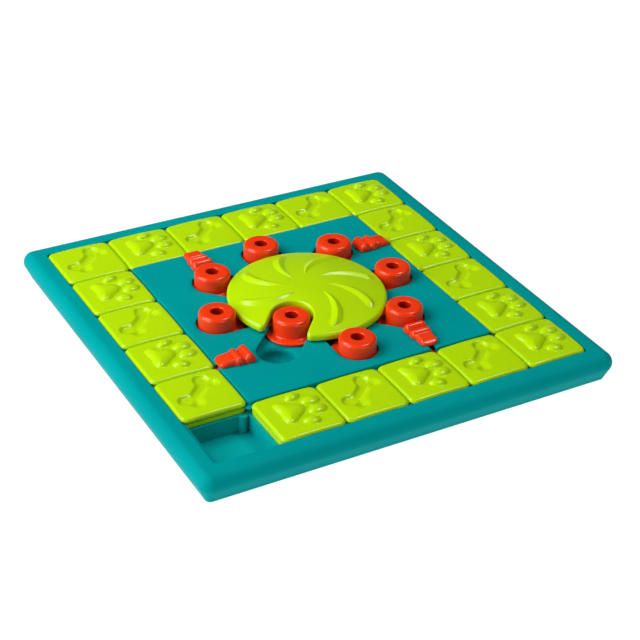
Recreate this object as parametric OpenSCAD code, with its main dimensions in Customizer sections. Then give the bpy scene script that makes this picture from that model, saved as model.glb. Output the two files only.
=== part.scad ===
// Sliding puzzle feeder for a dog.
// A square board: a ring of square tiles slides in a track around a centre
// deck, a notched wheel turns on the deck's hub, eight capped cups slide in
// radial slots over treat bowls, and four thumb locks block the tile ring.
// Origin: centre of the footprint, on the surface the board stands on. +Z up.
// +X runs along the front edge to the right, +Y runs to the back. The empty
// cell of the tile ring is the front left corner (-X, -Y).

/* [Board] */
// Length of each side of the board at its foot
board_w = 402; // [401:0.5:403]
// Height of the outer frame's flat top above the floor
frame_top = 28.5; // [28.5:0.5:29]
// Plan radius of the frame's outer corners at the foot
corner_r = 5; // [5:0.5:6]
// Thickness of the moulded walls of the frame
wall_t = 2.8; // [2.6:0.1:3]
// How far the rim stands out past the foot of its wall
flare = 6.3; // [6.1:0.1:6.4]
// Radius of the shoulder between the rim's flat top and its wall
shoulder_r = 10; // [9.6:0.1:10.2]

/* [Tile ring] */
// Distance from one tile to the next
pitch = 62.5; // [62.5:0.1:62.8]
// Gap between two tiles in the ring
tile_gap = 0.7; // [0.6:0.1:0.9]
// Plan radius of a tile's corners
tile_r = 6.2; // [5:0.2:7]
// Depth of the slide groove in a tile's edge
groove_d = 3.4; // [3.2:0.1:3.6]

/* [Cups and wheel] */
// Distance from the hub to a cup pushed outwards
cup_out = 93.8; // [93.6:0.1:94]
// Distance from the hub to a cup pushed into the wheel's notch
cup_in = 50.5; // [50:0.5:52]
// Radius of a cup's round body
cup_r = 17.6; // [17.2:0.1:17.7]
// Radius of the flange that holds a cup under the deck
flange_r = 25; // [24:0.5:25.5]
// Radius of the wheel
wheel_r = 75.3; // [74:0.1:75.4]
// Half width of the wheel's notch
notch_r = 19.9; // [19.8:0.1:20]
// Radius of the wheel's shaft
shaft_r = 8; // [7:0.5:8]
// Radial clearance of the shaft in the hub
shaft_fit = 0.06; // [0.03:0.01:0.1]

/* [Locks] */
// Travel of a thumb lock
lock_travel = 4.5; // [4:0.1:4.6]

/* [Hidden] */
H = board_w / 2;
floor_z = 1.2;          // underside of the base tray
floor_top = 3.3;        // floor of the treat wells
land_z = 19.6;          // track that the tiles slide on
plateau_z = 23.6;       // floor that the cups slide on
deck_bot = 27.2;
deck_top = 30.2;
lip_lo = 24.3;          // thin lip that runs in the tiles' groove
lip_hi = 25.3;
plate_lo = 25.5;        // underside of a tile's top plate
neck_lo = 24.1;
tile_top = 30.2;
flange_lo = 19.9;       // underside of a tile
frame_in = 187.8;       // inner edge of the frame's top
frame_lip = 184.1;
deck_h = 124.7;         // half side of the deck
deck_lip = 128.3;
cell = 2.5 * pitch;     // centre line of a row of tiles
tile_h = (pitch - tile_gap) / 2;
well_in = 126.4;
well_out = 182;
bowl_r = 16.4;
slot_r = 19.2;
teal = [0.0, 0.60, 0.60];
lime = [0.72, 0.90, 0.02];
orange = [0.97, 0.24, 0.10];
rubber = [0.12, 0.13, 0.13];
steel = [0.72, 0.73, 0.75];
$fn = 48;

// Places of the screws that hold the frame: along the hollow rim.
rim_y = [-168, -93.75, 0, 93.75, 168];
rim_c = 193.6;
tray_screw_at = [[100, 100], [-100, 100], [-100, -100], [100, -100]];
deck_screw_r = 105;
foot_at = [[170, 170], [0, 170], [-170, 170], [-170, 0],
  [-170, -170], [0, -170], [170, -170], [170, 0]];
// Cells of the ring, as column and row.
cells = [for (i = [0:5]) for (j = [0:5]) if (i == 0 || i == 5 || j == 0 || j == 5) [i, j]];
function cx(i) = (i - 2.5) * pitch;

// ---------- plan outlines ----------

// Square with rounded corners, centred, h is half its side.
module rsq(h, r) {
  square([2 * h, 2 * (h - r)], center = true);
  square([2 * (h - r), 2 * h], center = true);
  for (sx = [-1, 1]) for (sy = [-1, 1])
    translate([sx * (h - r), sy * (h - r)]) circle(r);
}

// Square ring between two rounded squares.
module rring(h1, r1, h0, r0) {
  difference() { rsq(h1, r1); rsq(h0, r0); }
}

module slab(z0, z1) { translate([0, 0, z0]) linear_extrude(z1 - z0) children(); }

// Slot along +X from a to b with round ends of radius r.
module slot2(a, b, r) {
  translate([a, -r]) square([b - a, 2 * r]);
  translate([a, 0]) circle(r);
  translate([b, 0]) circle(r);
}

// ---------- housing ----------

// Cross section of the rim, measured from the corner's centre line. The wall
// leans outwards from the foot to a soft shoulder; t is the wall's thickness
// taken off for the hollow inside.
module rim_section(t = 0) {
  x1 = corner_r;
  cx = corner_r + flare - shoulder_r;
  zc = frame_top - shoulder_r;
  r = shoulder_r - t;
  // lean of the wall, tangent to the shoulder
  q = asin(shoulder_r / norm([x1 - cx, zc - floor_z - 1.4])) - atan2(x1 - cx, zc - floor_z - 1.4);
  z1 = floor_z + (t > 0 ? 2 : 1.4);
  polygon([[0, t > 0 ? floor_z - 1 : floor_z], [t > 0 ? x1 - t : x1 - 1.4, t > 0 ? floor_z - 1 : floor_z],
    [x1 - t, z1], [cx + r * cos(q), zc - r * sin(q)], [cx, zc], [0, zc]]);
  if (t == 0) translate([x1 - 1.4, floor_z + 1.4]) circle(1.4);
  translate([0, zc - 0.5]) square([cx, r + 0.5]);
  intersection() {
    translate([cx, zc]) circle(r);
    translate([0, zc - 9]) square([20, 20]);
  }
}

// Carries a section around the square, filled in the middle.
module round_square(z0, z1) {
  k = H - corner_r;
  for (a = [0:90:270]) rotate([0, 0, a]) {
    translate([k, k, 0]) rotate([90, 0, 0]) linear_extrude(2 * k) children();
    translate([k, k, 0]) rotate_extrude(angle = 90) children();
  }
  slab(z0, z1) square(2 * k, center = true);
}

module outer_frame() {
  color(teal) difference() {
    round_square(floor_z, frame_top) rim_section();
    // hollow of the rim, with the wall beside the tiles left standing
    difference() {
      round_square(floor_z - 1, frame_top - wall_t) rim_section(wall_t);
      slab(land_z, 40) rsq(frame_in + 2.6, 6.9);
      for (a = [0:90:270]) rotate([0, 0, a])
        for (y = rim_y) translate([rim_c, y, 6.2]) cylinder(r = 3.1, h = 22);
    }
    slab(lip_hi, 40) rsq(frame_in, 4.3);
    slab(lip_lo, lip_hi + 1) rsq(frame_lip, 0.6);
    slab(0, lip_lo) rsq(frame_in, 4.3);
    for (a = [0:90:270]) rotate([0, 0, a])
      for (y = rim_y) translate([rim_c, y, 6]) cylinder(r = 1.25, h = 12);
  }
}

// Floor, well walls and track land of the tile ring, moulded in one piece.
module base_tray() {
  color(teal) difference() {
    union() {
      slab(floor_z, floor_top) rsq(H - wall_t - 0.4, corner_r - wall_t - 0.4);
      // block of the ring that the wells are cut from
      slab(floor_top - 0.1, land_z) rring(frame_in + 2.4, 3, 121.4, 3);
      // bosses under the frame's screws and under the centre tray
      for (a = [0:90:270]) rotate([0, 0, a])
        for (y = rim_y) translate([rim_c, y, floor_top - 0.1]) cylinder(r = 3.1, h = 3);
      for (p = tray_screw_at) translate([p[0], p[1], floor_top - 0.1]) cylinder(r = 4.5, h = 3.8);
    }
    // treat wells, one under each cell of the ring
    for (c = cells) well(c[0], c[1]);
    // screw holes, counterbored from below
    for (a = [0:90:270]) rotate([0, 0, a]) for (y = rim_y) translate([rim_c, y, 0]) {
      translate([0, 0, floor_z - 1]) cylinder(r = 2.7, h = 3.6);
      cylinder(r = 1.6, h = 8);
    }
    for (p = tray_screw_at) translate([p[0], p[1], 0]) {
      translate([0, 0, floor_z - 1]) cylinder(r = 3.2, h = 4);
      cylinder(r = 1.8, h = 9);
    }
  }
}

// One well: straight walls with a rounded rib beside the inner corner.
module well(i, j) {
  e = 1.25;
  x0 = i == 0 ? -well_out : i == 5 ? well_in : cx(i) - pitch / 2 + e;
  x1 = i == 5 ? well_out : i == 0 ? -well_in : cx(i) + pitch / 2 - e;
  y0 = j == 0 ? -well_out : j == 5 ? well_in : cx(j) - pitch / 2 + e;
  y1 = j == 5 ? well_out : j == 0 ? -well_in : cx(j) + pitch / 2 - e;
  r = 2.5;
  a = j == 0 && i < 5 ? 0 : i == 5 && j < 5 ? 90 : j == 5 && i > 0 ? 180 : 270;
  // rib corner: the well's corner that lies toward the hub and the row's end
  px = a == 0 ? x1 - 5 : a == 90 ? x0 : a == 180 ? x0 + 5 : x1;
  py = a == 0 ? y1 : a == 90 ? y1 - 5 : a == 180 ? y0 : y0 + 5;
  difference() {
    translate([0, 0, floor_top]) linear_extrude(land_z) {
      translate([x0 + r, y0]) square([x1 - x0 - 2 * r, y1 - y0]);
      translate([x0, y0 + r]) square([x1 - x0, y1 - y0 - 2 * r]);
      for (x = [x0 + r, x1 - r]) for (y = [y0 + r, y1 - r]) translate([x, y]) circle(r);
    }
    translate([px, py, floor_top - 1]) cylinder(r = 4.1, h = land_z);
  }
}

// Floor under the deck, with the eight treat bowls and the hub.
module centre_tray() {
  color(teal) difference() {
    union() {
      slab(land_z + 1.8, plateau_z) rsq(deck_h, 4);
      slab(land_z, land_z + 1.9) rring(deck_h, 4, 118.6, 3);
      slab(13, land_z + 0.1) rring(121.1, 2.7, 118.6, 2);
      for (a = [0:45:315]) rotate([0, 0, a]) translate([cup_out, 0, 0])
        bowl_skin();
      // hub post, stiffened by a collar
      translate([0, 0, 14.4]) cylinder(r = 13, h = 16.2);
      translate([0, 0, 20]) cylinder(r = 17, h = 3);
      for (p = tray_screw_at) translate([p[0], p[1], 7]) cylinder(r = 4.5, h = 15);
      for (a = [22.5:45:337.5]) rotate([0, 0, a]) translate([deck_screw_r, 0, 19.4]) cylinder(r = 4.2, h = 3);
    }
    for (a = [0:45:315]) rotate([0, 0, a]) translate([cup_out, 0, 0]) bowl_hollow();
    translate([0, 0, 10]) cylinder(r = shaft_r + shaft_fit, h = 30);
    for (p = tray_screw_at) translate([p[0], p[1], 6]) cylinder(r = 1.45, h = 13);
    for (a = [22.5:45:337.5]) rotate([0, 0, a]) translate([deck_screw_r, 0, 18]) cylinder(r = 1.6, h = 8);
  }
}

// Half outline of a full, round-bottomed bowl: radius r at height 21, depth d.
function bowl_line(r, d) = [for (i = [0:13]) [r * pow(cos(i * 90 / 13), 2 / 3), 21 - d * pow(sin(i * 90 / 13), 2 / 3)]];

// Bowl: full and round-bottomed, its edge rolls over into the sliding floor.
module bowl_skin() {
  translate([0, 0, 19.4]) cylinder(r = bowl_r + 2, h = plateau_z - 19.9);
  rotate_extrude() polygon(concat([[0, 21.4], [17.83, 21.4]], bowl_line(17.83, 12.6)));
}

module bowl_hollow() {
  rotate_extrude() polygon(concat([[0, 26], [15.83, 26]], bowl_line(15.83, 10.6)));
  // rolled edge
  translate([0, 0, plateau_z - 2]) rotate_extrude() difference() {
    square([17.8, 2.01]);
    translate([17.8, 0]) circle(2);
  }
}

// Top plate of the centre, with eight radial slots meeting at the hub.
module centre_deck() {
  color(teal) difference() {
    union() {
      slab(deck_bot, deck_top - 0.8) rsq(deck_h, 4);
      slab(deck_top - 0.81, deck_top) rsq(deck_h - 0.5, 3.5);
      slab(plateau_z, deck_bot + 0.1) rring(deck_h, 4, 121.6, 2);
      slab(lip_lo, lip_hi) rring(deck_lip, 3, 124, 3);
      for (a = [22.5:45:337.5]) rotate([0, 0, a]) translate([deck_screw_r, 0, plateau_z]) cylinder(r = 4.2, h = deck_bot - plateau_z + 0.1);
    }
    for (a = [0:45:315]) rotate([0, 0, a]) slab(deck_bot - 1, deck_top + 1) slot2(30, cup_out, slot_r);
    // tips of the fingers between the slots are rounded off
    slab(deck_bot - 1, deck_top + 1) circle(58);
    for (a = [22.5:45:337.5]) rotate([0, 0, a]) translate([deck_screw_r, 0, plateau_z - 1]) cylinder(r = 1.25, h = 6);
    // slots of the four locks run out through the deck's edge
    for (a = [0:90:270]) rotate([0, 0, a]) translate([0, pitch, 0]) {
      slab(plateau_z - 1, deck_top + 1) translate([92.6, -3.1]) square([44, 6.2]);
      slab(plateau_z - 1, deck_top + 1) translate([92.6, 0]) circle(3.1);
    }
  }
}

// ---------- wheel and hub ----------

// Height of the wheel's dome at radius r.
function dome(r) = 38 + 9.8 * (1 - r * r / (wheel_r * wheel_r));

// Half section of the wheel's disc, its dome lifted by up.
module disc_section(up) {
  polygon(concat([[0, 31.1], [wheel_r - 1.6, 31.1], [wheel_r, 32.7], [wheel_r, 35.4],
    [wheel_r - 0.4, 37], [wheel_r - 1.4, 38.2], [wheel_r - 3.2, 38.9 + up]],
    [for (r = [70:-10:10]) [r, dome(r) + up]], [[0, dome(10) + up]]));
}

module notch(r) {
  translate([50.3, 0, 0]) circle(r);
  translate([50.3, -r]) square([60, 2 * r]);
}

module spin_wheel() {
  color(lime) difference() {
    union() {
      rotate_extrude() disc_section(0);
      // seven raised blades that swirl out from the hub
      intersection() {
        rotate_extrude() disc_section(1.6);
        slab(36, 52) for (k = [1:7]) rotate([0, 0, 225 + 45 * k]) blade();
      }
      translate([0, 0, 14.2]) cylinder(r = shaft_r, h = 18);
    }
    // notch that lets one cup in
    rotate([0, 0, 225]) slab(30, 52) notch(notch_r);
    // hollow of the shaft takes the hub screw
    translate([0, 0, 13]) cylinder(r = 1.6, h = 15);
    // moulding recess under the dome
    difference() {
      rotate_extrude() polygon([[18, 30], [71, 30], [71, 35.6], [60, 38.6], [40, 42.2], [18, 44.2]]);
      rotate([0, 0, 225]) slab(29, 53) notch(notch_r + 2.4);
    }
  }
}

// Crescent that starts near the hub and bends round as it runs outwards.
// t runs from 0 at the hub to 1 at the rim.
function blade_r(t) = 20 + 46.5 * t;
function blade_a(t) = 21.5 - 28.5 * pow(t, 1.15);
function blade_w(t) = 4.9 * pow(sin(180 * (0.03 + 0.8 * t)), 0.8);
function blade_pt(t, side) = let (r = blade_r(t), a = blade_a(t), w = side * blade_w(t))
  [r * cos(a) - w * sin(a), r * sin(a) + w * cos(a)];
module blade() {
  polygon(concat([for (i = [0:8]) blade_pt(i / 8, 1)],
    [for (i = [8:-1:0]) blade_pt(i / 8, -1)]));
}

module hub_washer() {
  color(steel) difference() {
    translate([0, 0, 12.2]) cylinder(r = 12, h = 2);
    translate([0, 0, 11]) cylinder(r = 1.7, h = 5);
  }
}

module hub_screw() {
  color(steel) {
    translate([0, 0, 12.1]) cylinder(r = 1.5, h = 13);
    difference() {
      translate([0, 0, 10]) cylinder(r = 4, h = 2.2);
      translate([0, 0, 9.9]) driver_cross(3.4, 1.2);
    }
  }
}

// Cross recess in a screw head
module driver_cross(l, d) {
  for (a = [0, 90]) rotate([0, 0, a]) translate([-l / 2, -0.45, 0]) cube([l, 0.9, d]);
}

module screw_up(r_head, h_head, r, h) {
  difference() {
    union() {
      cylinder(r = r_head, h = h_head);
      translate([0, 0, h_head - 0.1]) cylinder(r = r, h = h);
    }
    translate([0, 0, -0.1]) driver_cross(r_head * 1.2, 0.9);
  }
}

module frame_screws() {
  color(steel) for (a = [0:90:270]) rotate([0, 0, a]) for (y = rim_y)
    translate([rim_c, y, 1.9]) screw_up(2.5, 1.9, 1.2, 11);
}

module tray_screws() {
  color(steel) for (p = tray_screw_at) translate([p[0], p[1], 2.1]) screw_up(3, 2.1, 1.4, 12);
}

module deck_screws() {
  color(steel) for (a = [22.5:45:337.5]) rotate([0, 0, a])
    translate([deck_screw_r, 0, 17.4]) screw_up(3, 2, 1.2, 9);
}

module rubber_feet() {
  color(rubber) for (p = foot_at) translate([p[0], p[1], 0]) {
    cylinder(r = 8, h = floor_z);
  }
}

// ---------- cups ----------

module cup(a, r) {
  color(orange) rotate([0, 0, a]) translate([r, 0, 0]) difference() {
    union() {
      rotate_extrude($fn = 64) {
        translate([0, 24]) square([flange_r - 1, 2.3]);
        translate([flange_r - 1.15, 25.15]) circle(1.15);
        translate([0, 24]) square([cup_r, 15.8]);
        translate([0, 39]) square([cup_r - 3.4, 4.2]);
        intersection() {
          translate([cup_r - 3.4, 39.8]) circle(3.4);
          translate([0, 39]) square([30, 5]);
        }
        // small fillet above the flange
        difference() {
          translate([cup_r - 0.1, 26]) square([1.3, 1.5]);
          translate([cup_r + 1.2, 27.5]) circle(1.2);
        }
      }
    }
    translate([0, 0, 34]) cylinder(r = 6.2, h = 12);
    translate([0, 0, 23]) cylinder(r = 15, h = 8.6);
  }
}
module cup_000() { cup(0, cup_out); }
module cup_045() { cup(45, cup_out); }
module cup_090() { cup(90, cup_out); }
module cup_135() { cup(135, cup_out); }
module cup_180() { cup(180, cup_out); }
module cup_225() { cup(225, cup_in); }
module cup_270() { cup(270, cup_out); }
module cup_315() { cup(315, cup_out); }

// ---------- locks ----------

// Thumb lock, pushed outwards along +X, centre line on y = pitch.
// push is how far it is drawn back from its locked place.
module lock(a, back) {
  color(orange) rotate([0, 0, a]) translate([-back, pitch, 0]) {
    // grip: two hipped ridges and a sloping nose on a low base
    translate([0, 0, deck_top + 0.3]) {
      linear_extrude(1.8) {
        translate([90.5, -9]) square([19, 18]);
        translate([108, -6.6]) square([10, 13.2]);
        translate([117.9, 0]) circle(6.6);
      }
      ridge(94.9, 5.2, 10.9, 7.2);
      ridge(104.6, 5.0, 9.7, 6.4);
      nose();
    }
    // stem through the deck, foot under it, and the blade
    translate([97, -2.7, lip_hi - 0.1]) cube([22, 5.4, deck_top + 0.5 - lip_hi]);
    translate([97.5, -7.5, plateau_z + 0.3]) cube([20, 15, 2.9]);
    translate([117, -2.5, lip_lo]) cube([14, 5, lip_hi - lip_lo]);
    translate([131, 0, lip_lo]) cylinder(r = 1.3, h = lip_hi - lip_lo);
    translate([115, -2.5, plateau_z + 0.3]) cube([5, 5, 3]);
  }
}

// Ridge across the lock at x, w half its foot, l half its length, h its height
module ridge(x, w, l, h) {
  intersection() {
    translate([x, l, 0]) rotate([90, 0, 0]) linear_extrude(2 * l)
      polygon([[-w, 0], [w, 0], [w - 0.2, 1.6], [w * 0.42, h - 0.5], [w * 0.2, h], [-w * 0.2, h], [-w * 0.42, h - 0.5], [-w + 0.2, 1.6]]);
    translate([x - w, 0, 0]) rotate([90, 0, 90]) linear_extrude(2 * w)
      polygon([[-l, 0], [l, 0], [l, 2.2], [l - 3.4, h + 0.1], [-l + 3.4, h + 0.1], [-l, 2.2]]);
  }
}

module nose() {
  intersection() {
    union() {
      translate([108, -6.6, 0]) cube([10, 13.2, 6]);
      translate([117.9, 0, 0]) cylinder(r = 6.6, h = 6);
    }
    translate([0, 10, 0]) rotate([90, 0, 0]) linear_extrude(20)
      polygon([[107, 0], [124.6, 0], [124.6, 2.6], [121.5, 3.9], [112, 5.2], [107, 5.2]]);
  }
}
module lock_left() { lock(180, 0); }
module lock_back() { lock(90, 0); }
module lock_right() { lock(0, 0); }
module lock_front() { lock(270, lock_travel); }

// ---------- tiles ----------

// Rounded plate with a soft top edge: h half side, r corner, e edge radius
module soft_plate(h, r, z0, z1, e) {
  slab(z0, z1 - e + 0.01) rsq(h, r);
  slab(z1 - e, z1) rsq(h - e, r - e);
  for (a = [0:90:270]) rotate([0, 0, a]) {
    translate([h - e, h - r, z1 - e]) rotate([90, 0, 0]) linear_extrude(2 * (h - r)) quarter(e);
    translate([h - r, h - r, z1 - e]) rotate_extrude(angle = 90) translate([r - e, 0]) quarter(e);
  }
}
module quarter(e) {
  intersection() { circle(e); translate([0, 0]) square([e, e]); }
}

module tile_body() {
  soft_plate(tile_h, tile_r, plate_lo, tile_top, 2.2);
  slab(neck_lo - 0.1, plate_lo + 0.1) rsq(tile_h - groove_d, 3.2);
  slab(flange_lo, neck_lo) rsq(tile_h - 0.4, tile_r - 0.2);
}

// Raised paw: a broad pad and four toes, toes toward +X
module paw_raised() {
  translate([0, 0, tile_top - 0.4]) {
    linear_extrude(1.9) {
      translate([-7, 0]) circle(7.4);
      translate([-10, 8]) circle(4.4);
      translate([-10, -8]) circle(4.4);
      translate([-14.4, -8]) square([8, 16]);
    }
    translate([1.5, 14.2, 0]) cylinder(r = 4.2, h = 1.7);
    translate([9.6, 5.6, 0]) cylinder(r = 4.6, h = 1.7);
    translate([9.6, -5.6, 0]) cylinder(r = 4.6, h = 1.7);
    translate([1.5, -14.2, 0]) cylinder(r = 4.2, h = 1.7);
  }
}

// Sunk bone across the tile's diagonal
module bone_sunk() {
  translate([0, 0, tile_top - 1.5]) rotate([0, 0, 45]) linear_extrude(4) {
    translate([-12, -3.6]) square([24, 7.2]);
    for (s = [-1, 1]) for (t = [-1, 1]) translate([s * 14, t * 4.3]) circle(4.8);
  }
}

module tile(i, j) {
  // paws and bones alternate around the ring
  n = i == 0 ? j : j == 5 ? 5 + i : i == 5 ? 15 - j : j == 0 ? 20 - i : 0;
  paw = (i == 0 ? j % 2 == 0 : j == 5 ? i % 2 == 1 : i == 5 ? (j == 0 || j % 2 == 1) : i % 2 == 1);
  color(lime) translate([cx(i), cx(j), 0]) {
    if (paw) { tile_body(); paw_raised(); }
    else difference() { tile_body(); bone_sunk(); }
  }
}
module tile_0_1() { tile(0, 1); }
module tile_0_2() { tile(0, 2); }
module tile_0_3() { tile(0, 3); }
module tile_0_4() { tile(0, 4); }
module tile_0_5() { tile(0, 5); }
module tile_1_5() { tile(1, 5); }
module tile_2_5() { tile(2, 5); }
module tile_3_5() { tile(3, 5); }
module tile_4_5() { tile(4, 5); }
module tile_5_5() { tile(5, 5); }
module tile_5_4() { tile(5, 4); }
module tile_5_3() { tile(5, 3); }
module tile_5_2() { tile(5, 2); }
module tile_5_1() { tile(5, 1); }
module tile_5_0() { tile(5, 0); }
module tile_4_0() { tile(4, 0); }
module tile_3_0() { tile(3, 0); }
module tile_2_0() { tile(2, 0); }
module tile_1_0() { tile(1, 0); }

outer_frame();
base_tray();
centre_tray();
centre_deck();
spin_wheel();
hub_washer();
hub_screw();
frame_screws();
tray_screws();
deck_screws();
rubber_feet();
cup_000();
cup_045();
cup_090();
cup_135();
cup_180();
cup_225();
cup_270();
cup_315();
lock_left();
lock_back();
lock_right();
lock_front();
tile_0_1();
tile_0_2();
tile_0_3();
tile_0_4();
tile_0_5();
tile_1_5();
tile_2_5();
tile_3_5();
tile_4_5();
tile_5_5();
tile_5_4();
tile_5_3();
tile_5_2();
tile_5_1();
tile_5_0();
tile_4_0();
tile_3_0();
tile_2_0();
tile_1_0();
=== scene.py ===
"""Dog puzzle feeder: the visible surfaces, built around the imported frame. Lengths in the builders below are millimetres."""
import bpy, bmesh, math
import numpy as np
from mathutils import Vector, Matrix
from mathutils.geometry import delaunay_2d_cdt


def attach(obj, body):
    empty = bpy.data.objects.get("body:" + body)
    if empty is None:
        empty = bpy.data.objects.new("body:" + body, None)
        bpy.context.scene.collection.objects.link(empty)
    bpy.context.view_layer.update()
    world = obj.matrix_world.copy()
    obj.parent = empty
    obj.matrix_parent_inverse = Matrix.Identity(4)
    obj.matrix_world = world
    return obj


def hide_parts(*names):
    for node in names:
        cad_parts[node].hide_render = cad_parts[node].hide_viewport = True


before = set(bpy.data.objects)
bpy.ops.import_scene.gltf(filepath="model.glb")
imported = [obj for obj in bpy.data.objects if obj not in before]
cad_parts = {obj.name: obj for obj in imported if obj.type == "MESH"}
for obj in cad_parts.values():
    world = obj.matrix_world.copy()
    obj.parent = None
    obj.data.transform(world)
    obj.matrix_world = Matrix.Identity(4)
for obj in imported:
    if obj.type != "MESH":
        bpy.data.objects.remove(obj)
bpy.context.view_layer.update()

MM = 0.001
PITCH = 62.5
DECK_TOP, PLATEAU, LIP_LO, LIP_HI = 30.2, 23.6, 24.3, 25.3
scene = bpy.context.scene
rad = math.radians


# ---------------------------------------------------------------- mesh tools
class Shell:
    """Collects vertices (mm) and faces, and turns them into one closed mesh."""
    def __init__(s):
        s.v, s.f, s.n = [], [], 0

    def add(s, P):
        P = np.asarray(P, float).reshape(-1, 3)
        b = s.n
        s.v.append(P)
        s.n += len(P)
        return b

    def rings(s, R, closed=True):
        R = np.asarray(R, float)
        m, n = R.shape[:2]
        b = s.add(R)
        k = n if closed else n - 1
        i, j = np.meshgrid(np.arange(m - 1), np.arange(k), indexing="ij")
        a, c = b + i * n + j, b + i * n + (j + 1) % n
        s.f += np.stack([a, c, c + n, a + n], -1).reshape(-1, 4).tolist()
        return b, b + (m - 1) * n

    def cap(s, P):
        b = s.add(P)
        s.f.append(list(range(b, b + len(P))))

    def tris(s, V, F):
        b = s.add(V)
        s.f += [[b + i for i in f] for f in F]

    def mesh(s, name, sharp=34, weld=2e-6):
        me = bpy.data.meshes.new(name)
        me.from_pydata((np.concatenate(s.v) * MM).tolist(), [], s.f)
        bm = bmesh.new()
        bm.from_mesh(me)
        bmesh.ops.remove_doubles(bm, verts=bm.verts, dist=weld)
        bmesh.ops.dissolve_degenerate(bm, edges=bm.edges, dist=1e-7)
        loose = [v for v in bm.verts if not v.link_faces]
        bmesh.ops.delete(bm, geom=loose, context="VERTS")
        bmesh.ops.recalc_face_normals(bm, faces=bm.faces)
        bm.to_mesh(me)
        bm.free()
        me.shade_smooth()
        me.set_sharp_from_angle(angle=rad(sharp))
        return me


def place(me, name, body, mat, nodes, loc=(0, 0, 0), turn=0.0):
    ob = bpy.data.objects.new(name, me)
    scene.collection.objects.link(ob)
    ob.location = Vector(loc) * MM
    ob.rotation_euler = (0, 0, rad(turn))
    me.materials.clear()
    me.materials.append(mat)
    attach(ob, body)
    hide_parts(*nodes)
    return ob


def sq_side(t, h, r, tc):
    """Point of the right-hand side of a rounded square, t from -1 to 1; the corner arcs begin at |t| = tc."""
    t = np.asarray(t, float)
    a = np.clip((np.abs(t) - tc) / (1 - tc), 0, 1) * math.pi / 4
    x = h - r + r * np.cos(a)
    y = np.where(np.abs(t) <= tc, np.abs(t) / tc * (h - r), h - r + r * np.sin(a))
    return x, np.sign(t) * y


def sq_ring(h, r, n, k):
    """Rounded square: n steps a side, k of them on each half corner."""
    t = np.linspace(-1, 1, n + 1)[:-1]
    x, y = sq_side(t, h, r, (n - 2 * k) / n)
    P = np.stack([x, y], 1)
    out = []
    for q in range(4):
        c, s = [(1, 0), (0, 1), (-1, 0), (0, -1)][q]
        out.append(np.stack([c * P[:, 0] - s * P[:, 1], s * P[:, 0] + c * P[:, 1]], 1))
    return np.concatenate(out)


def sq_grid(h, r, n, k):
    """Grid over the same rounded square, whose border is sq_ring."""
    u, v = np.meshgrid(np.linspace(-1, 1, n + 1), np.linspace(-1, 1, n + 1), indexing="ij")
    s = np.maximum(np.abs(u), np.abs(v))
    s1 = np.where(s == 0, 1, s)
    onx = np.abs(u) >= np.abs(v)
    t = np.where(onx, v / s1, u / s1)
    a, b = sq_side(t, h, r, (n - 2 * k) / n)
    X = np.where(onx, np.sign(u) * a, b) * s
    Y = np.where(onx, b, np.sign(v) * a) * s
    return X, Y


def up(ring, z):
    ring = np.asarray(ring)
    z = np.broadcast_to(z, len(ring))
    return np.column_stack([ring, z])


def inside(P, loops):
    c = np.zeros(len(P), int)
    for L in loops:
        L = np.asarray(L)
        x1, y1 = L[:, 0], L[:, 1]
        x2, y2 = np.roll(x1, -1), np.roll(y1, -1)
        for i in range(0, len(P), 4000):
            px, py = P[i:i + 4000, 0, None], P[i:i + 4000, 1, None]
            with np.errstate(divide="ignore", invalid="ignore"):
                hit = ((y1 > py) != (y2 > py)) & (px < (x2 - x1) * (py - y1) / (y2 - y1) + x1)
            c[i:i + 4000] += hit.sum(1)
    return c % 2 == 1


def fill(loops, pts, gap=0.35):
    """Triangles over the area between the loops, through the extra points."""
    pts = np.asarray(pts, float).reshape(-1, 2)
    if len(pts):
        pts = pts[inside(pts, loops)]
        ring = np.concatenate([np.asarray(L) for L in loops])
        near = np.array([np.hypot(*(ring - p).T).min() for p in pts]) if len(pts) else np.zeros(0)
        pts = pts[near > gap]
    vs, ed = [], []
    for L in loops:
        b, n = len(vs), len(L)
        vs += [Vector((float(p[0]), float(p[1]))) for p in L]
        ed += [(b + i, b + (i + 1) % n) for i in range(n)]
    vs += [Vector((float(p[0]), float(p[1]))) for p in pts]
    out = delaunay_2d_cdt(vs, ed, [], 0, 1e-5)
    V = np.array([(p[0], p[1]) for p in out[0]])
    F = [list(f) for f in out[2]]
    mid = np.array([V[f].mean(0) for f in F])
    ok = inside(mid, loops)
    return V, [f for f, k in zip(F, ok) if k]


def arc(cx, cy, r, a0, a1, n):
    a = np.radians(np.linspace(a0, a1, n))
    return np.stack([cx + r * np.cos(a), cy + r * np.sin(a)], 1)


def spin(P, deg):
    c, s = math.cos(rad(deg)), math.sin(rad(deg))
    P = np.asarray(P)
    return np.stack([c * P[:, 0] - s * P[:, 1], s * P[:, 0] + c * P[:, 1]], 1)


def lathe(s, prof, n=96, c=(0, 0)):
    a = np.linspace(0, 2 * math.pi, n + 1)[:-1]
    R = [np.stack([c[0] + r * np.cos(a), c[1] + r * np.sin(a), np.full(n, z)], 1) for r, z in prof]
    return s.rings(R)


def rnd(cx, cz, r, a0, a1, n=6):
    """Profile points of a fillet: centre, radius and the two angles in degrees."""
    return [(cx + r * math.cos(rad(a)), cz + r * math.sin(rad(a))) for a in np.linspace(a0, a1, n + 1)]


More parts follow.
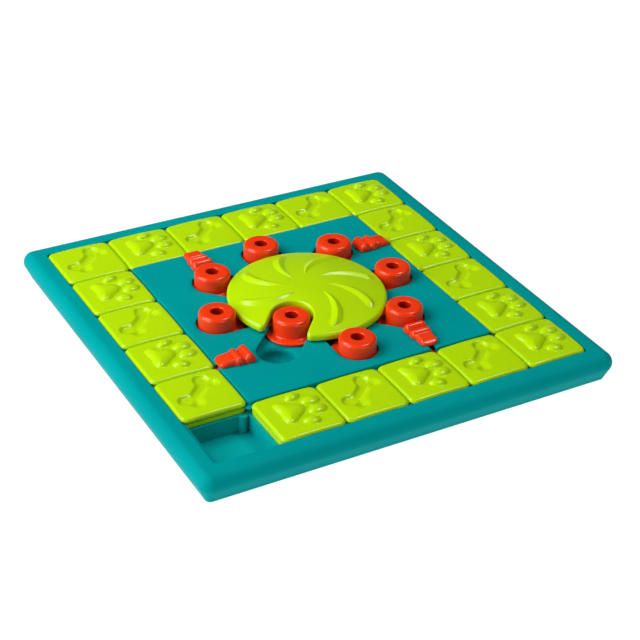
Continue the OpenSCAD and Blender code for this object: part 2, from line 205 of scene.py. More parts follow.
# ---------------------------------------------------------------- materials
def plastic(name, base, deep, rough, rough_var, bump, coat=0.0, coat_rough=0.1, ior=1.46, grain=900.0, spec=0.3):
    """Moulded plastic: faint flow tint, uneven gloss and a fine mould texture."""
    m = bpy.data.materials.new(name)
    m.use_nodes = True
    nt = m.node_tree
    N, L = nt.nodes, nt.links
    p = N["Principled BSDF"]
    tc = N.new("ShaderNodeTexCoord")

    def noise(scale, detail, r=0.5):
        n = N.new("ShaderNodeTexNoise")
        n.inputs["Scale"].default_value = scale
        n.inputs["Detail"].default_value = detail
        n.inputs["Roughness"].default_value = r
        L.new(tc.outputs["Object"], n.inputs["Vector"])
        return n
    flow = noise(14.0, 3.0)
    ramp = N.new("ShaderNodeValToRGB")
    ramp.color_ramp.elements[0].position = 0.30
    ramp.color_ramp.elements[1].position = 0.72
    ramp.color_ramp.elements[0].color = (*deep, 1)
    ramp.color_ramp.elements[1].color = (*base, 1)
    L.new(flow.outputs["Fac"], ramp.inputs["Fac"])
    L.new(ramp.outputs["Color"], p.inputs["Base Color"])
    haze = noise(42.0, 4.0, 0.6)
    mr = N.new("ShaderNodeMapRange")
    mr.inputs["From Min"].default_value = 0.3
    mr.inputs["From Max"].default_value = 0.75
    mr.inputs["To Min"].default_value = rough - rough_var
    mr.inputs["To Max"].default_value = rough + rough_var
    L.new(haze.outputs["Fac"], mr.inputs["Value"])
    L.new(mr.outputs["Result"], p.inputs["Roughness"])
    fine = noise(grain, 2.0, 0.6)
    wave = noise(55.0, 2.0)
    b1 = N.new("ShaderNodeBump")
    b1.inputs["Strength"].default_value = bump
    b1.inputs["Distance"].default_value = 0.0002
    L.new(fine.outputs["Fac"], b1.inputs["Height"])
    b2 = N.new("ShaderNodeBump")
    b2.inputs["Strength"].default_value = 0.05
    b2.inputs["Distance"].default_value = 0.001
    L.new(wave.outputs["Fac"], b2.inputs["Height"])
    L.new(b1.outputs["Normal"], b2.inputs["Normal"])
    L.new(b2.outputs["Normal"], p.inputs["Normal"])
    p.inputs["IOR"].default_value = ior
    p.inputs["Specular IOR Level"].default_value = spec
    p.inputs["Coat Weight"].default_value = coat
    p.inputs["Coat Roughness"].default_value = coat_rough
    return m


def steel():
    m = bpy.data.materials.new("zinc_steel")
    m.use_nodes = True
    N, L = m.node_tree.nodes, m.node_tree.links
    p = N["Principled BSDF"]
    p.inputs["Metallic"].default_value = 1.0
    tc = N.new("ShaderNodeTexCoord")
    n = N.new("ShaderNodeTexNoise")
    n.inputs["Scale"].default_value = 700
    n.inputs["Detail"].default_value = 3
    L.new(tc.outputs["Object"], n.inputs["Vector"])
    r = N.new("ShaderNodeValToRGB")
    r.color_ramp.elements[0].color = (0.42, 0.42, 0.44, 1)
    r.color_ramp.elements[1].color = (0.66, 0.66, 0.67, 1)
    L.new(n.outputs["Fac"], r.inputs["Fac"])
    L.new(r.outputs["Color"], p.inputs["Base Color"])
    mr = N.new("ShaderNodeMapRange")
    mr.inputs["To Min"].default_value = 0.25
    mr.inputs["To Max"].default_value = 0.5
    L.new(n.outputs["Fac"], mr.inputs["Value"])
    L.new(mr.outputs["Result"], p.inputs["Roughness"])
    return m


TEAL = plastic("teal_moulded", (0.000, 0.315, 0.320), (0.000, 0.290, 0.297), 0.42, 0.05, 0.10, grain=1500, spec=0.012)
# painted light: a lighter, glossier copy of the teal for the whole base tray, brightening the insides of its wells
TEAL_LIT_WELLS = plastic("teal_painted_light_wells", (0.000, 0.425, 0.430), (0.000, 0.395, 0.402), 0.32, 0.05, 0.08, grain=1500, spec=0.12)
LIME = plastic("lime_moulded", (0.485, 0.775, 0.0), (0.455, 0.740, 0.0), 0.24, 0.04, 0.03, grain=1200, spec=0.40)
# painted shade: a darker copy of the orange for the inside of the cups' finger holes, standing in for the shade there
ORANGE_HOLE_SHADE = plastic("orange_painted_hole_shade", (0.50, 0.016, 0.002), (0.46, 0.013, 0.001), 0.30, 0.04, 0.03, grain=1200, spec=0.25)
ORANGE = plastic("orange_moulded", (0.93, 0.048, 0.005), (0.88, 0.040, 0.004), 0.22, 0.04, 0.03, grain=1200, spec=0.48)
STEEL = steel()
RUBBER = plastic("black_rubber", (0.030, 0.030, 0.031), (0.020, 0.020, 0.021), 0.75, 0.08, 0.5, grain=900)


# ---------------------------------------------------------------- outer frame
def make_frame():
    s = Shell()
    H, k, fl, R = 201.0, 196.0, 6.25, 10.0        # foot, corner centre, flare of the wall, shoulder
    cx, cz = H + fl - R, 28.5 - R
    q = math.degrees(math.asin(R / math.hypot(H - cx, cz - 2.6)) - math.atan2(H - cx, cz - 2.6))
    prof = [(184.1, 24.55), (184.1, 25.05)] + rnd(184.35, 25.05, 0.25, 180, 90, 3)
    prof += [(187.55, 25.3)] + [(187.8, 25.55), (187.8, 27.9)] + rnd(188.4, 27.9, 0.6, 180, 90, 4)
    prof += [(189.2, 28.5), (193.0, 28.5)]
    prof += rnd(cx, cz, R, 90, -q, 16)
    xt, zt = prof[-1]
    prof += [(xt + (H - xt) * u, zt + (2.75 - zt) * u) for u in (0.33, 0.66, 1.0)]
    prof += rnd(H - 1.4, 2.6, 1.4, -4, -90, 5)
    prof += [(H - 2.8, 1.2), (H - 2.8, 3.2)] + rnd(cx, cz, R - 2.8, -q, 90, 8)
    prof += [(190.4, 25.7), (190.4, 19.6), (187.8, 19.6), (187.8, 24.3), (184.35, 24.3)]
    prof += [prof[0]]
    s.rings([up(sq_ring(h, h - k if h > 196.5 else h - 183.5, 40, 12), z) for h, z in prof])
    return s.mesh("outer_frame_v", 40)


# ---------------------------------------------------------------- tiles
def seg(P, a, b):
    a, b = np.array(a, float), np.array(b, float)
    d = b - a
    t = np.clip(((P - a) @ d) / (d @ d), 0, 1)
    return np.hypot(*(P - a - t[:, None] * d).T)


def poly_sdf(P, Q):
    """Signed distance to a closed polygon, negative inside."""
    Q = np.asarray(Q, float)
    d = np.full(len(P), 1e9)
    for i in range(len(Q)):
        d = np.minimum(d, seg(P, Q[i], Q[(i + 1) % len(Q)]))
    return np.where(inside(P, [Q]), -d, d)


def smin(a, b, k):
    h = np.clip(0.5 + 0.5 * (b - a) / k, 0, 1)
    return b + (a - b) * h - k * h * (1 - h)


def smooth_loop(Q, n=3):
    """Rounds a given outline by corner cutting."""
    Q = np.asarray(Q, float)
    for _ in range(n):
        R = np.roll(Q, -1, 0)
        Q = np.stack([0.75 * Q + 0.25 * R, 0.25 * Q + 0.75 * R], 1).reshape(-1, 2)
    return Q


PAD = smooth_loop([(-17.0, 16.6), (-11.8, 19.0), (-5.0, 15.4), (1.5, 11.4), (7.2, 7.2), (8.0, 1.6), (4.4, -3.0), (-1.6, -7.0), (-7.0, -11.8),
                   (-12.4, -14.2), (-16.8, -11.0), (-17.2, -4.0), (-15.6, 2.4), (-17.0, 9.0)], 2)
# toes: centre, half length, half width, direction of the long axis
TOES = [((4.6, 20.6), 7.8, 5.0, 22), ((16.4, 9.8), 8.8, 6.2, 4), ((16.4, -3.6), 8.8, 6.3, 12), ((4.2, -16.2), 7.8, 5.6, -14)]


def paw_h(P):
    sd = poly_sdf(P, PAD)
    t = np.clip(-sd / 8.5, 0, 1)
    h = 3.2 * np.sqrt(np.clip(1 - (1 - t) ** 2.0, 0, 1)) ** 1.25
    for c, a, b, ang in TOES:
        Q = spin(P - np.array(c), -ang)
        # egg shape: narrower towards the pad
        w = b * (1 + 0.10 * np.clip(Q[:, 0] / a, -1, 1))
        q = (Q[:, 0] / a) ** 2 + (Q[:, 1] / w) ** 2
        h = np.maximum(h, 3.1 * np.clip(1 - q, 0, 1) ** 0.66)
    return h


def bone_h(P):
    ax = np.array((0.73, 0.683))
    no = np.array((-0.683, 0.73))
    Q = P - np.array((0.6, 2.0))
    u, v = Q @ ax, Q @ no
    shaft = np.maximum(np.abs(v) - 6.4, np.abs(u) - 17)
    k = 1e9
    for su in (-1, 1):
        for sv in (-1, 1):
            c = np.hypot(u - su * 16.8, v - sv * 5.4) - 7.2
            k = c if isinstance(k, float) else smin(k, c, 3.2)
    sd = smin(shaft, k, 6.0)
    t = np.clip(-(sd - 0.9) / (6.4 - 2.8 * np.tanh((v + 0.15 * u) / 4.0)), 0, 1)
    return -2.5 * (t * t * (3 - 2 * t))


def make_tile(kind):
    n, k = 84, 6
    s = Shell()
    h0, e = 31.0, 3.1
    hi = h0 - 0.1 - e
    top = DECK_TOP

    def crown(X, Y):
        return top + 0.15 - 0.3 * ((np.abs(X) / 31) ** 4 + (np.abs(Y) / 31) ** 4) - 0.9 * (X / 31) ** 2 * (Y / 31) ** 2
    X, Y = sq_grid(hi, 6.3 - e, n, k)
    P = np.stack([X.ravel(), Y.ravel()], 1)
    H = (paw_h(P) if kind == "paw" else bone_h(P)).reshape(X.shape)
    # keep the relief clear of the rounded border
    s.rings(np.stack([X, Y, crown(X, Y) + H], -1), closed=False)
    prof = []
    for a in np.linspace(0, 90, 9):
        prof.append((hi + e * math.sin(rad(a)), -2.9 * (1 - math.cos(rad(a))), True))
    R = []
    for x, dz, _ in prof:
        ring = sq_ring(x, 6.3 - (h0 - 0.1 - x), n, k)
        z = crown(ring[:, 0], ring[:, 1]) + dz
        if dz < -1.4:
            z = z * (1 - (-dz - 1.4) / 1.5) + (top - 0.25 + dz) * ((-dz - 1.4) / 1.5)
        R.append(up(ring, z))
    low = [(30.9, 26.2), (30.75, 25.75), (30.4, 25.5), (28.0, 25.5), (27.6, 25.3), (27.5, 24.9), (27.5, 24.4), (27.7, 24.1), (30.0, 24.1), (30.35, 23.95),
           (30.5, 23.6), (30.5, 20.4), (30.35, 20.05), (30.0, 19.9), (28.2, 19.9), (28.0, 20.1), (27.9, 22.2), (27.5, 22.6), (20, 22.6), (8, 22.6)]
    for x, z in low:
        r = 6.3 - (30.9 - x) if x > 28.5 else 3.4 if x > 22 else 2.0
        R.append(up(sq_ring(x, r, n, k), z))
    s.rings(R)
    s.cap(R[-1])
    return s.mesh("tile_" + kind, 50)


# ---------------------------------------------------------------- wheel
WR, NR, NU = 75.3, 19.9, 50.3


def dome(r):
    return 38.0 + 9.6 * (1 - (r / WR) ** 2) - 0.35 * np.exp(-(r / 14.0) ** 2)


def wheel_loop(d):
    """Outline of the wheel moved inwards by d; the notch opens along +X."""
    f = 3.9                      # rounding of the two horns
    R, w = WR - d, NR + d
    fr = max(f - d, 0.02)
    cx = math.sqrt((R - fr) ** 2 - (w + fr) ** 2)   # centre of the horn's rounding
    cy = w + fr
    a_h = math.degrees(math.atan2(cy, cx))
    parts = [arc(0, 0, R, a_h, 360 - a_h, 361)[:-1],
             arc(cx, -cy, fr, -a_h, 90, 15)[:-1],
             np.stack([np.linspace(cx, NU, 19), np.full(19, -w)], 1)[:-1],
             arc(NU, 0, w, -90, -270, 91)[:-1],
             np.stack([np.linspace(NU, cx, 19), np.full(19, w)], 1)[:-1],
             arc(cx, cy, fr, -90, a_h, 15)[:-1]]
    return np.concatenate(parts)


def blade_mid(t):
    r = 20 + 47.0 * t
    a = 22.0 - 29.0 * t ** 1.15
    return r, a


def blade_w(t):
    w = 5.6 * np.sin(np.pi * (0.02 + 0.62 * np.clip(t, 0, 1))) ** 0.9
    end = np.clip((t - 0.86) / 0.14, 0, 1)
    return w * np.sqrt(np.clip(1 - end ** 2, 0, 1))


def blade_pts():
    out = []
    for t in np.concatenate([np.linspace(0.0, 0.86, 44), np.linspace(0.88, 1.0, 10)]):
        r, a = blade_mid(t)
        r2, a2 = blade_mid(min(t + 0.01, 1.02))
        p = np.array((r * math.cos(rad(a)), r * math.sin(rad(a))))
        q = np.array((r2 * math.cos(rad(a2)), r2 * math.sin(rad(a2))))
        d = (q - p) / np.hypot(*(q - p))
        n = np.array((-d[1], d[0]))
        w = max(float(blade_w(t)), 0.15)
        for sgn in (-1.25, -1.1, -1.0, -0.9, -0.7, -0.5, -0.3, -0.14, -0.05, 0.05, 0.14, 0.3, 0.5, 0.7, 0.9, 1.0, 1.1, 1.25):
            out.append(p + n * w * sgn)
    return np.array(out)


def blades_h(P):
    """Height of the seven raised blades over the dome."""
    h = np.zeros(len(P))
    r = np.hypot(P[:, 0], P[:, 1])
    th = np.degrees(np.arctan2(P[:, 1], P[:, 0]))
    t = (r - 20) / 47.0
    tt = np.clip(t, 1e-4, 1)
    da = -29.0 * 1.15 * tt ** 0.15 / 47.0          # degrees per mm
    slope = np.radians(da) * r
    cosi = 1 / np.sqrt(1 + slope ** 2)
    for kk in range(1, 8):
        a = 45 * kk + 22.0 - 29.0 * tt ** 1.15
        dth = (th - a + 180) % 360 - 180
        lat = np.radians(dth) * r * cosi
        w = np.maximum(blade_w(t), 1e-3)
        q = np.abs(lat) / w
        top = 2.5 * np.clip(np.sin(np.pi * np.clip(0.03 + 0.62 * tt, 0, 1)), 0, 1) ** 0.8
        # roof with a slightly rounded crest and crisp feet
        roof = 1 - np.sqrt(q ** 2 + 0.012) + 0.11 * (1 - q) * 0
        prof = np.clip(roof / (1 - math.sqrt(0.012)), 0, 1)
        prof = prof ** 0.9
        end = np.clip((1.0 - t) / 0.10, 0, 1) ** 0.6
        ok = (t > -0.01) & (t < 1.0) & (q < 1)
        h = np.maximum(h, np.where(ok, top * prof * end, 0))
    return h


def make_wheel():
    s = Shell()
    lip = 2.6
    n = len(wheel_loop(0))
    R = []

    def ztop(L):
        return dome(np.hypot(L[:, 0], L[:, 1]))
    L0 = wheel_loop(0)
    zt = ztop(L0)
    # under edge, wall, then the rolled top edge
    # 0 on the rim, 1 in the notch
    m = np.clip((np.hypot(L0[:, 0] - NU, L0[:, 1]) < 24.5) * 1.0, 0, 1)
    for _ in range(6):
        m = 0.25 * np.roll(m, 1) + 0.5 * m + 0.25 * np.roll(m, -1)
    m = m[:, None]
    lips = lip * (1 - m) + 1.9 * m
    for d, z in ((2.4, 31.1), (1.6, 31.15), (0.8, 31.7), (0.3, 32.5), (0.0, 33.4)):
        R.append(up(wheel_loop(d), z))
    zl = zt - lips[:, 0]
    for q in (0.5, 1.0):
        R.append(up(L0, 33.4 + (zl - 33.4) * q))
    for a in np.linspace(8, 90, 10):
        c = 1 - math.cos(rad(a))
        L = wheel_loop(lip * c) * (1 - m) + wheel_loop(1.9 * c) * m
        R.append(up(L, ztop(L) - lips[:, 0] * (1 - math.sin(rad(a)))))
    s.rings(R)
    Lt = R[-1][:, :2]
    pts = []
    for r in np.arange(1.5, 72, 1.7):
        m = max(6, int(round(2 * math.pi * r / 1.7)))
        pts.append(arc(0, 0, r, 0, 360 * (1 - 1 / m), m))
    base = np.concatenate(pts)
    # thin out the plain points where the blades bring their own
    bl = np.concatenate([spin(blade_pts(), 45 * k) for k in range(1, 8)])
    keep = np.ones(len(base), bool)
    for i, p in enumerate(base):
        if np.abs(bl - p).sum(1).min() < 1.1:
            keep[i] = False
    V, F = fill([Lt], np.concatenate([base[keep], bl]), 0.5)
    z = dome(np.hypot(V[:, 0], V[:, 1])) + blades_h(V)
    s.tris(up(V, z), F)
    # underside: shell with a boss round the shaft
    Lu = wheel_loop(2.4)
    Lv = wheel_loop(3.4)
    zu = np.minimum(ztop(Lv) - 3.2, 60)
    s.rings([up(Lu, 31.1), up(Lv, 31.9), up(Lv, zu)])
    Vu, Fu = fill([Lv, arc(0, 0, 18, 0, 357, 120)], np.concatenate([arc(0, 0, r, 0, 357.5, 144) for r in (24, 32, 40, 48, 56, 64)]), 1.0)
    s.tris(up(Vu, np.minimum(dome(np.hypot(Vu[:, 0], Vu[:, 1])) - 3.2, 60)), Fu)
    c = arc(0, 0, 18, 0, 357, 120)
    z18 = float(dome(18.0)) - 3.2
    R2 = [up(c, z18), up(c * (17.8 / 18), 31.6), up(c * (17.2 / 18), 31.1), up(c * (8.6 / 18), 31.1), up(c * (8.0 / 18), 30.6), up(c * (8.0 / 18), 14.6),
          up(c * (7.6 / 18), 14.2), up(c * (1.6 / 18), 14.2), up(c * (1.6 / 18), 28)]
    s.rings(R2)
    s.cap(R2[-1])
    me = s.mesh("spin_wheel_v", 46)
    return me


# ---------------------------------------------------------------- cups
def make_cup():
    s = Shell()
    n = 96
    prof = [(0.6, 34.3), (5.2, 34.3)] + rnd(5.4, 34.9, 0.6, -90, 0, 3)
    prof += [(6.05, 38), (6.2, 42.1)] + rnd(7.1, 42.2, 0.9, 180, 90, 5)
    prof += [(10.5, 43.16), (13.2, 43.1)]
    prof += rnd(13.7, 39.6, 3.5, 88, 4, 10)
    prof += [(17.35, 36), (17.5, 31), (17.6, 28.6)] + rnd(18.9, 28.0, 1.3, 180, 262, 5)
    prof += [(22.5, 26.45), (23.9, 26.3)] + rnd(23.9, 25.2, 1.1, 84, 0, 5) + rnd(23.9, 25.1, 1.1, 0, -84, 5)
    prof += [(22.5, 24.0), (15.4, 24.0), (15.0, 24.4), (15.0, 31.0), (14.4, 31.6), (0.6, 31.6)]
    b, e = lathe(s, prof, n)
    a = np.linspace(0, 2 * math.pi, n + 1)[:-1]
    for r, z in (prof[0], prof[-1]):
        s.cap(np.stack([r * np.cos(a), r * np.sin(a), np.full(n, z)], 1))
    return s.mesh("cup_v", 40)


# ---------------------------------------------------------------- centre deck
def deck_outer(E, r, w, xin=92.6):
    """Outer loop of the deck with the four lock slots; E half side, w half width of a slot."""
    side = []
    side.append(np.stack([np.full(26, E), np.linspace(-(E - r), PITCH - w, 26)], 1)[:-1])
    side.append(np.stack([np.linspace(E, xin, 14), np.full(14, PITCH - w)], 1)[:-1])
    side.append(arc(xin, PITCH, w, 270, 90, 13)[:-1])
    side.append(np.stack([np.linspace(xin, E, 14), np.full(14, PITCH + w)], 1)[:-1])
    side.append(np.stack([np.full(10, E), np.linspace(PITCH + w, E - r, 10)], 1)[:-1])
    side.append(arc(E - r, E - r, r, 0, 90, 9)[:-1])
    S = np.concatenate(side)
    return np.concatenate([spin(S, a) for a in (0, 90, 180, 270)])


def deck_inner(d):
    """Loop of the eight cup slots, grown by d."""
    w, c = 19.2 + d, 58 + d
    u0 = math.sqrt(c * c - w * w)
    out = []
    for a in range(0, 360, 45):
        one = [np.stack([np.linspace(u0, 93.8, 12), np.full(12, -w)], 1)[:-1],
               arc(93.8, 0, w, -90, 90, 49)[:-1],
               np.stack([np.linspace(93.8, u0, 12), np.full(12, w)], 1)[:-1]]
        t0 = math.degrees(math.atan2(w, u0))
        one.append(arc(0, 0, c, t0, 45 - t0, 5)[:-1])
        out.append(spin(np.concatenate(one), a))
    return np.concatenate(out)


def make_deck():
    s = Shell()
    e = 0.9
    w = 3.1
    R, Q = [], []
    for a in np.linspace(0, 90, 6):
        d = e * (1 - math.cos(rad(a)))
        z = DECK_TOP - e * (1 - math.sin(rad(a)))
        R.append(up(deck_outer(124.7 - d, 4 - d, w + d), z))
        Q.append(up(deck_inner(d), z))
    low = [up(deck_outer(E, r, w, 96.0), z) for E, r, z in
           ((121.6, 2, 27.2), (121.6, 2, 23.9), (121.9, 2, 23.6), (124.4, 4, 23.6), (124.7, 4, 23.9), (124.7, 4, 24.3), (128.0, 3.2, 24.3), (128.3, 3.2, 24.55), (128.3, 3.2, 25.05), (128.0, 3.2, 25.3),
            (124.9, 4, 25.3), (124.7, 4, 25.5))]
    s.rings(low + R)
    s.rings([up(deck_inner(0), 27.5 - 0.0), up(deck_inner(0), 28.2)] + Q)
    s.rings([up(deck_inner(0.3), 27.2), up(deck_inner(0), 27.5)])
    g = np.stack(np.meshgrid(np.arange(-120, 121, 8.0), np.arange(-120, 121, 8.0)), -1).reshape(-1, 2)
    V, F = fill([deck_outer(124.7 - e, 4 - e, w + e), deck_inner(e)], g, 2.0)
    s.tris(up(V, DECK_TOP), F)
    V, F = fill([deck_outer(121.6, 2, w), deck_inner(0.3)], g, 2.0)
    s.tris(up(V, 27.2), F)
    return s.mesh("centre_deck_v", 40)


# ---------------------------------------------------------------- floor under the deck
def make_tray():
    """Sliding floor of the cups: eight bowls whose edges roll over softly, the hub post and the screw bosses."""
    s = Shell()

    def circ(x, y, r, n):
        return arc(x, y, r, 0, 360 * (1 - 1 / n), n)
    bowls = [(93.8 * math.cos(rad(a)), 93.8 * math.sin(rad(a)), math.cos(rad(a)), math.sin(rad(a))) for a in range(0, 360, 45)]
    holes = [(105 * math.cos(rad(a)), 105 * math.sin(rad(a))) for a in np.arange(22.5, 360, 45)]
    posts = [(100 * x, 100 * y) for x in (-1, 1) for y in (-1, 1)]
    sq = lambda h, r: sq_ring(h, r, 40, 6)
    s.rings([up(sq(h, r), z) for h, r, z in ((124.2, 3.5, 23.6), (124.55, 3.85, 23.45), (124.7, 4, 23.1), (124.7, 4, 19.8), (124.5, 3.8, 19.6), (121.1, 2.7, 19.6),
                                             (121.1, 2.7, 13.2), (120.9, 2.5, 13), (118.8, 2.2, 13), (118.6, 2, 13.2), (118.6, 2, 21.4))])
    top, low = [sq(124.2, 3.5)], [sq(118.6, 2)]
    for x, y, c, q in bowls:
        R = []
        for t in np.linspace(0, 90, 11):
            o = 1.5 * (1 - t / 90)
            R.append(up(circ(x - o * c, y - o * q, 20.4 - 4.6 * math.sin(rad(t)), 96), 19.2 + 4.4 * math.cos(rad(t))))
        for t in list(np.linspace(6, 78, 15)) + [82, 86]:
            R.append(up(circ(x, y, 15.83 * math.cos(rad(t)) ** (2 / 3), 96), 21 - 10.6 * math.sin(rad(t)) ** (2 / 3)))
        s.rings(R)
        s.cap(R[-1])
        top.append(R[0][:, :2])
        K = [up(circ(x, y, 18.4, 64), 21.4), up(circ(x, y, 18.4, 64), 19.6)]
        for t in (7, 14, 22, 30, 40, 50, 60, 70, 80):
            K.append(up(circ(x, y, 17.83 * math.cos(rad(t)) ** (2 / 3), 64), 21 - 12.6 * math.sin(rad(t)) ** (2 / 3)))
        s.rings(K)
        s.cap(K[-1])
        low.append(K[0][:, :2])
    for x, y in holes:
        K = [up(circ(x, y, r, 24), z) for r, z in ((1.6, 23.6), (1.6, 19.4), (3.9, 19.4), (4.2, 19.7), (4.2, 21.4))]
        s.rings(K)
        top.append(K[0][:, :2])
        low.append(K[-1][:, :2])
    for x, y in posts:
        K = [up(circ(x, y, r, 32), z) for r, z in ((4.5, 21.4), (4.5, 7.3), (4.2, 7), (1.45, 7), (1.45, 19))]
        s.rings(K)
        s.cap(K[-1])
        low.append(K[0][:, :2])
    K = [up(circ(0, 0, r, 72), z) for r, z in ((13.4, 23.6), (13.1, 23.7), (13, 24), (13, 30.2), (12.6, 30.6), (8.4, 30.6), (8.06, 30.3), (8.06, 14.6), (8.3, 14.4), (12.7, 14.4),
                                                (13, 14.7), (13, 20), (16.7, 20), (17, 20.3), (17, 21.4))]
    s.rings(K)
    top.append(K[0][:, :2])
    low.append(K[-1][:, :2])
    g = np.stack(np.meshgrid(np.arange(-120, 121, 8.0), np.arange(-120, 121, 8.0)), -1).reshape(-1, 2)
    V, F = fill(top, g, 2.0)
    s.tris(up(V, PLATEAU), F)
    V, F = fill(low, g, 2.0)
    s.tris(up(V, 21.4), F)
    return s.mesh("centre_tray_v", 40)


# ---------------------------------------------------------------- locks
def make_lock():
    """Thumb lock pointing along +X, drawn at its locked place (x measured from the board's centre, y from the slot)."""
    s = Shell()
    z0 = DECK_TOP + 0.3

    def bump(x, c, w, h):
        q = np.clip(np.abs(x - c) / w, 0, 1)
        return h * (1 - q ** 1.9) ** 1.05
    xs = np.unique(np.concatenate([90.3 + 0.9 * (1 - np.cos(np.linspace(0, math.pi / 2, 6))), np.linspace(91.2, 118.6, 74), 118.6 + 6.0 * np.sin(np.linspace(0, math.pi / 2, 14))]))
    R = []
    for x in xs:
        H = 2.6 + bump(x, 95.9, 6.0, 5.4) + 0.0
        H = max(H, 2.6 + bump(x, 105.6, 5.6, 4.4))
        if x > 107.5:
            lobe = 5.5 - (x - 111.5) * 0.14 if x > 111.5 else 5.5 - 3.0 * ((111.5 - x) / 4.0) ** 2
            H = max(H, lobe)
        W = 8.4
        W = max(W, 8.4 + 2.5 * float(np.clip(1 - (np.abs(x - 95.9) / 6.0) ** 3.4, 0, 1)))
        W = max(W, 8.4 + 2.0 * float(np.clip(1 - (np.abs(x - 105.6) / 5.6) ** 3.4, 0, 1))) if x > 99.5 else W
        if x > 108.6:
            k = min((x - 108.6) / 2.6, 1)
            W = W * (1 - k) + 8.5 * k
        if x > 118.0:
            q = (x - 118.0) / 6.6
            W = 8.5 * max(1 - abs(q) ** 3.2, 0.0004) ** (1 / 3.2)
            H = H * (1 - 0.38 * q ** 3)
        if x < 91.2:
            q = (91.2 - x) / 0.9
            W -= 0.9 * (1 - math.sqrt(max(1 - q * q, 0)))
            H -= 0.9 * (1 - math.sqrt(max(1 - q * q, 0)))
        # cross-section: upright side, hipped shoulder, rounded top
        hip = min(2.7, W * 0.36) * np.clip((H - 1.6) / 4.5, 0.25, 1)
        side = [(W - 0.35, 0.0), (W, 0.35), (W, min(1.5, H * 0.5))]
        for a in np.linspace(0, 90, 7):
            side.append((W - hip + hip * math.cos(rad(a)) ** 1.25, min(1.5, H * 0.5) + (H - min(1.5, H * 0.5)) * math.sin(rad(a)) ** 0.95))
        side += [(W - hip - (W - hip) * f, H + 0.0) for f in (0.35, 0.7)]
        y = [p[0] for p in side] + [0] + [-p[0] for p in side[::-1]]
        z = [p[1] for p in side] + [H] + [p[1] for p in side[::-1]]
        R.append(np.stack([np.full(len(y), x), np.array(y), z0 + np.array(z)], 1))
    s.rings(R, closed=False)
    s.cap(R[0])
    s.cap(R[-1])
    # underside of the grip
    bot = np.array([r[0] for r in R] + [r[-1] for r in R[::-1]])
    s.cap(bot)

    def block(x0, x1, hy, za, zb, r, tip=None):
        cx, hx = (x0 + x1) / 2, (x1 - x0) / 2
        def ring(i):
            q = []
            for (sx, sy, a0) in ((1, 1, 0), (-1, 1, 90), (-1, -1, 180), (1, -1, 270)):
                for a in np.linspace(a0, a0 + 90, 6):
                    rr = max(r - i, 0.05)
                    q.append((cx + sx * (hx - i - rr) + rr * math.cos(rad(a)), sy * (hy - i - rr) + rr * math.sin(rad(a))))
            return np.array(q)
        c = 0.25
        RR = [up(ring(c), za), up(ring(0), za + c), up(ring(0), zb - c), up(ring(c), zb)]
        s.rings(RR)
        s.cap(RR[0])
        s.cap(RR[-1])
    block(97, 119, 2.7, 25.0, z0 + 0.6, 1.2)
    block(97.5, 117.5, 7.5, PLATEAU + 0.3, 26.8, 1.5)
    block(115, 132.2, 2.5, LIP_LO, LIP_HI, 1.3)
    return s.mesh("lock_v", 42)


# ---------------------------------------------------------------- build and place
def cx(i):
    return (i - 2.5) * PITCH


place(make_frame(), "rim", "board", TEAL, ["outer_frame"])
place(make_deck(), "deck_plate", "board", TEAL, ["centre_deck"])
place(make_tray(), "cup_floor", "board", TEAL, ["centre_tray"])
wheel = make_wheel()
place(wheel, "wheel", "wheel", LIME, ["spin_wheel"], turn=225)
cup = make_cup()
for a in range(0, 360, 45):
    r = 50.5 if a == 225 else 93.8
    n = "cup_%03d" % a
    ob = place(cup.copy(), "v_" + n, n, ORANGE, [n], (r * math.cos(rad(a)), r * math.sin(rad(a)), 0), a)
    ob.data.materials.append(ORANGE_HOLE_SHADE)  # painted shade: the faces inside the blind finger hole get a darker orange that stands in for the hole's shadow; it is also rougher and less glossy
    for f in ob.data.polygons:
        f.material_index = int(f.center.xy.length < 6.16 * MM and 34 * MM < f.center.z < 41.9 * MM)
lock = make_lock()
for n, a, back in (("lock_left", 180, 0), ("lock_back", 90, 0), ("lock_right", 0, 0), ("lock_front", 270, 4.5)):
    c, q = math.cos(rad(a)), math.sin(rad(a))
    place(lock.copy(), "v_" + n, n, ORANGE, [n], (-back * c - PITCH * q, -back * q + PITCH * c, 0), a)
paw, bone = make_tile("paw"), make_tile("bone")
ring = [(0, j) for j in range(1, 6)] + [(i, 5) for i in range(1, 6)] + [(5, j) for j in range(4, -1, -1)] + [(i, 0) for i in range(4, 0, -1)]
PAWS = {(0, 2), (0, 4), (1, 5), (3, 5), (5, 5), (5, 3), (5, 1), (5, 0), (3, 0), (1, 0)}
for i, j in ring:
    n = "tile_%d_%d" % (i, j)
    place((paw if (i, j) in PAWS else bone).copy(), "v_" + n, n, LIME, [n], (cx(i), cx(j), 0))

# carried-over nodes: their finish, and softened edges
# the base tray takes the lighter teal copy, painted light in its wells
for n, m in (("base_tray", TEAL_LIT_WELLS), ("hub_washer", STEEL), ("hub_screw", STEEL), ("frame_screws", STEEL),
             ("tray_screws", STEEL), ("deck_screws", STEEL), ("rubber_feet", RUBBER)):
    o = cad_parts[n]
    o.data.materials.clear()
    o.data.materials.append(m)
    for sl in o.material_slots:
        sl.material = m
    wl = o.modifiers.new("weld", "WELD")
    wl.merge_threshold = 2e-6
    bv = o.modifiers.new("bevel", "BEVEL")
    bv.limit_method = "ANGLE"
    bv.angle_limit = rad(40)
    bv.width = 0.0004 if n == "base_tray" else 0.00015
    bv.segments = 2
    bv.use_clamp_overlap = True
    bv.harden_normals = False

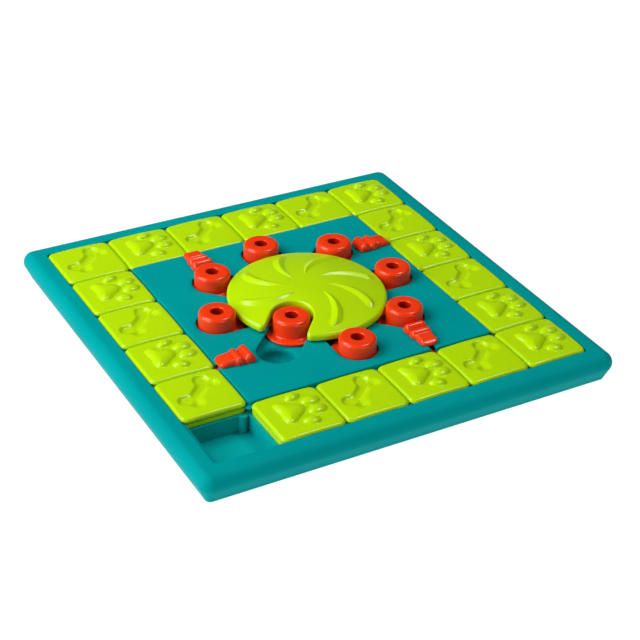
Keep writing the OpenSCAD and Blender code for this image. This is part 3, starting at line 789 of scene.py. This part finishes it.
# ---------------------------------------------------------------- stage, light, camera
bm = bmesh.new()
bmesh.ops.create_grid(bm, x_segments=1, y_segments=1, size=6.0)
fme = bpy.data.meshes.new("floor")
bm.to_mesh(fme)
bm.free()
floor = bpy.data.objects.new("floor", fme)
scene.collection.objects.link(floor)
fm = bpy.data.materials.new("floor_white")
fm.use_nodes = True
fp = fm.node_tree.nodes["Principled BSDF"]
fn = fm.node_tree.nodes.new("ShaderNodeTexNoise")
fn.inputs["Scale"].default_value = 3.0
fr = fm.node_tree.nodes.new("ShaderNodeValToRGB")
fr.color_ramp.elements[0].color = (0.11, 0.11, 0.11, 1)
fr.color_ramp.elements[1].color = (0.13, 0.13, 0.13, 1)
fm.node_tree.links.new(fn.outputs["Fac"], fr.inputs["Fac"])
fm.node_tree.links.new(fr.outputs["Color"], fp.inputs["Base Color"])
# the table is a softly glowing light table
fp.inputs["Emission Color"].default_value = (1, 1, 1, 1)
fp.inputs["Emission Strength"].default_value = 0.97
fp.inputs["Roughness"].default_value = 0.9
fme.materials.append(fm)

world = bpy.data.worlds.new("studio")
scene.world = world
world.use_nodes = True
bg = world.node_tree.nodes["Background"]
bg.inputs["Color"].default_value = (1.0, 1.0, 1.0, 1)
bg.inputs["Strength"].default_value = 0.05


def area(name, at, to, size, power, spread=180):
    l = bpy.data.lights.new(name, "AREA")
    l.shape = "RECTANGLE"
    l.size, l.size_y = size
    l.energy = power
    l.spread = rad(spread)
    o = bpy.data.objects.new(name, l)
    scene.collection.objects.link(o)
    o.location = at
    o.rotation_mode = "QUATERNION"
    o.rotation_quaternion = (Vector(to) - Vector(at)).to_track_quat("-Z", "Y")
    return o


def sun(name, direction, strength, angle):
    """Distant soft light; direction points from the board to the light."""
    l = bpy.data.lights.new(name, "SUN")
    l.energy = strength
    l.angle = rad(angle)
    o = bpy.data.objects.new(name, l)
    scene.collection.objects.link(o)
    o.rotation_mode = "QUATERNION"
    o.rotation_quaternion = Vector(direction).to_track_quat("Z", "Y")
    return o


sun("side", (-0.95, 0.10, 0.28), 3.0, 60)
sun("window", (0.42, 0.0, 0.90), 0.85, 16)
sun("front", (0.10, -0.95, 0.32), 0.36, 30)
area("overhead", (-0.66, 0.36, 0.98), (0, 0, 0), (0.55, 0.55), 7.2)

cam_d = bpy.data.cameras.new("camera")
cam = bpy.data.objects.new("camera", cam_d)
scene.collection.objects.link(cam)
cam_d.lens = 91.22
cam_d.sensor_width = 36
cam_d.sensor_fit = "HORIZONTAL"
cam_d.clip_start, cam_d.clip_end = 0.05, 50
rt, upv, fw = Vector((0.87299, -0.48673, 0.03143)), Vector((0.23635, 0.47851, 0.84567)), Vector((0.42665, 0.73083, -0.53278))
M = Matrix((rt, upv, -fw)).transposed().to_4x4()
M.translation = Vector((-0.644538, -1.129944, 0.826544))
cam.matrix_world = M
scene.camera = cam
scene.view_settings.view_transform = "Standard"
scene.view_settings.look = "None"

bpy.context.view_layer.update()
